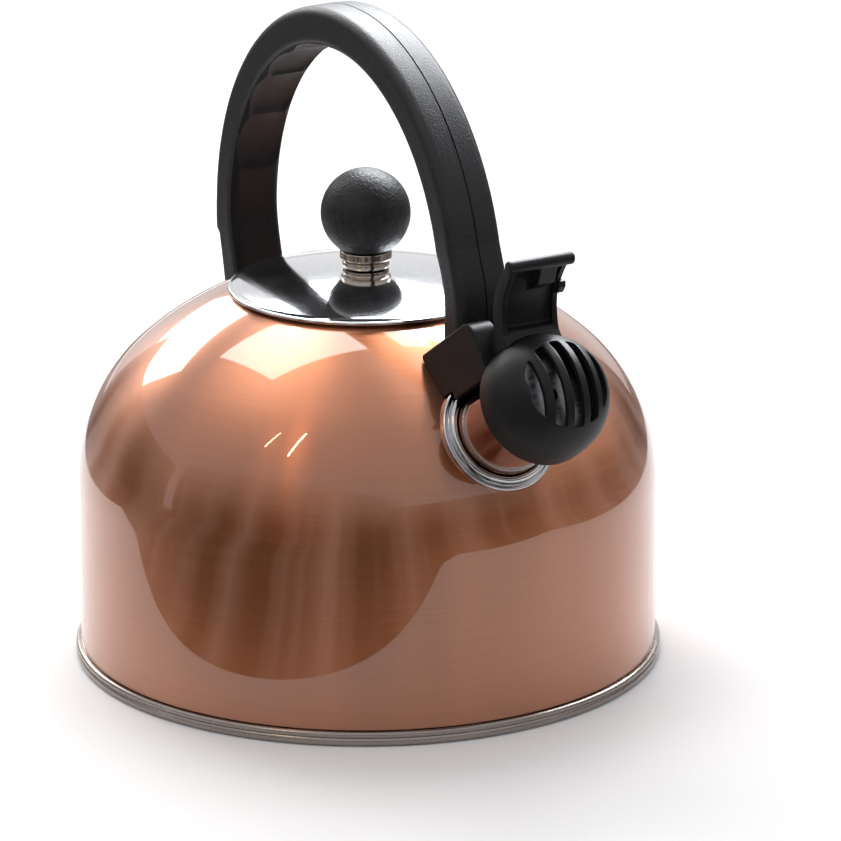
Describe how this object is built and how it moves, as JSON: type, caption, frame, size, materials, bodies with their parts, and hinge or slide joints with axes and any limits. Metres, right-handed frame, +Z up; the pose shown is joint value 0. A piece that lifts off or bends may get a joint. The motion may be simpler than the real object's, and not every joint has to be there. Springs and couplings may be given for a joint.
{
  "type": "stovetop kettle",
  "caption": "Round domed stovetop kettle with an arched over-handle, lift-off lid with ball knob, and a spring-closed whistling spout cap worked by a thumb lever.",
  "frame": {"origin": "centre of the flat underside, on the surface it stands on", "axes": "+Z up, +X towards the spout, +Y to the left of someone looking along the spout"},
  "size_m": [0.2307, 0.198, 0.2203],
  "materials": {
    "copper_lacquer": "copper-tinted clear lacquer over brushed steel",
    "base_steel": "satin",
    "spout_copper": "copper-tinted clear lacquer over polished steel",
    "ring_chrome": "polished",
    "lid_chrome": "mirror polished",
    "collar_steel": "polished",
    "bracket_steel": "plain",
    "screw_steel": "plain",
    "brass_insert": "plain",
    "spring_steel": "plain",
    "handle_plastic": "fine-grained matte black phenolic",
    "knob_plastic": "grained black phenolic",
    "cap_plastic": "smooth satin black phenolic",
    "seal_rubber": "silicone",
    "whistle_metal": "plain"
  },
  "bodies": {
    "kettle": {"body_shell": "copper_lacquer", "base_pan": "base_steel", "spout_tube": "spout_copper", "spout_ring": "ring_chrome", "handle_left_half": "handle_plastic", "handle_right_half": "handle_plastic", "handle_screw_1": "screw_steel", "handle_screw_2": "screw_steel", "handle_screw_3": "screw_steel", "handle_screw_4": "screw_steel", "front_housing": "handle_plastic", "front_bracket": "bracket_steel", "rear_bracket": "bracket_steel", "front_leg_screw": "screw_steel", "rear_leg_screw": "screw_steel", "hinge_pin": "screw_steel"},
    "lid": {"lid_cover": "lid_chrome", "lid_skirt": "bracket_steel", "knob_collar": "collar_steel", "knob_ball": "knob_plastic", "knob_insert": "brass_insert", "knob_screw": "screw_steel", "knob_washer": "screw_steel"},
    "whistle": {"whistle_lever": "handle_plastic", "whistle_cap": "cap_plastic", "whistle_holder": "cap_plastic", "whistle_seal": "seal_rubber", "whistle_back_plate": "whistle_metal", "whistle_spacer": "whistle_metal", "whistle_front_plate": "whistle_metal", "lever_spring": "spring_steel"}
  },
  "joints": [
    {"name": "lid_lift", "type": "slide", "parent": "kettle", "child": "lid", "axis": [0, 0, 1], "range_m": [0, 0.03]},
    {"name": "lever_hinge", "type": "hinge", "parent": "kettle", "child": "whistle", "pos_m": [0.08512, 0, 0.12726], "axis": [0, -1, 0], "range_deg": [0, 45], "stiffness_Nm_per_rad": 0.03, "springref_deg": -34.38}
  ]
}
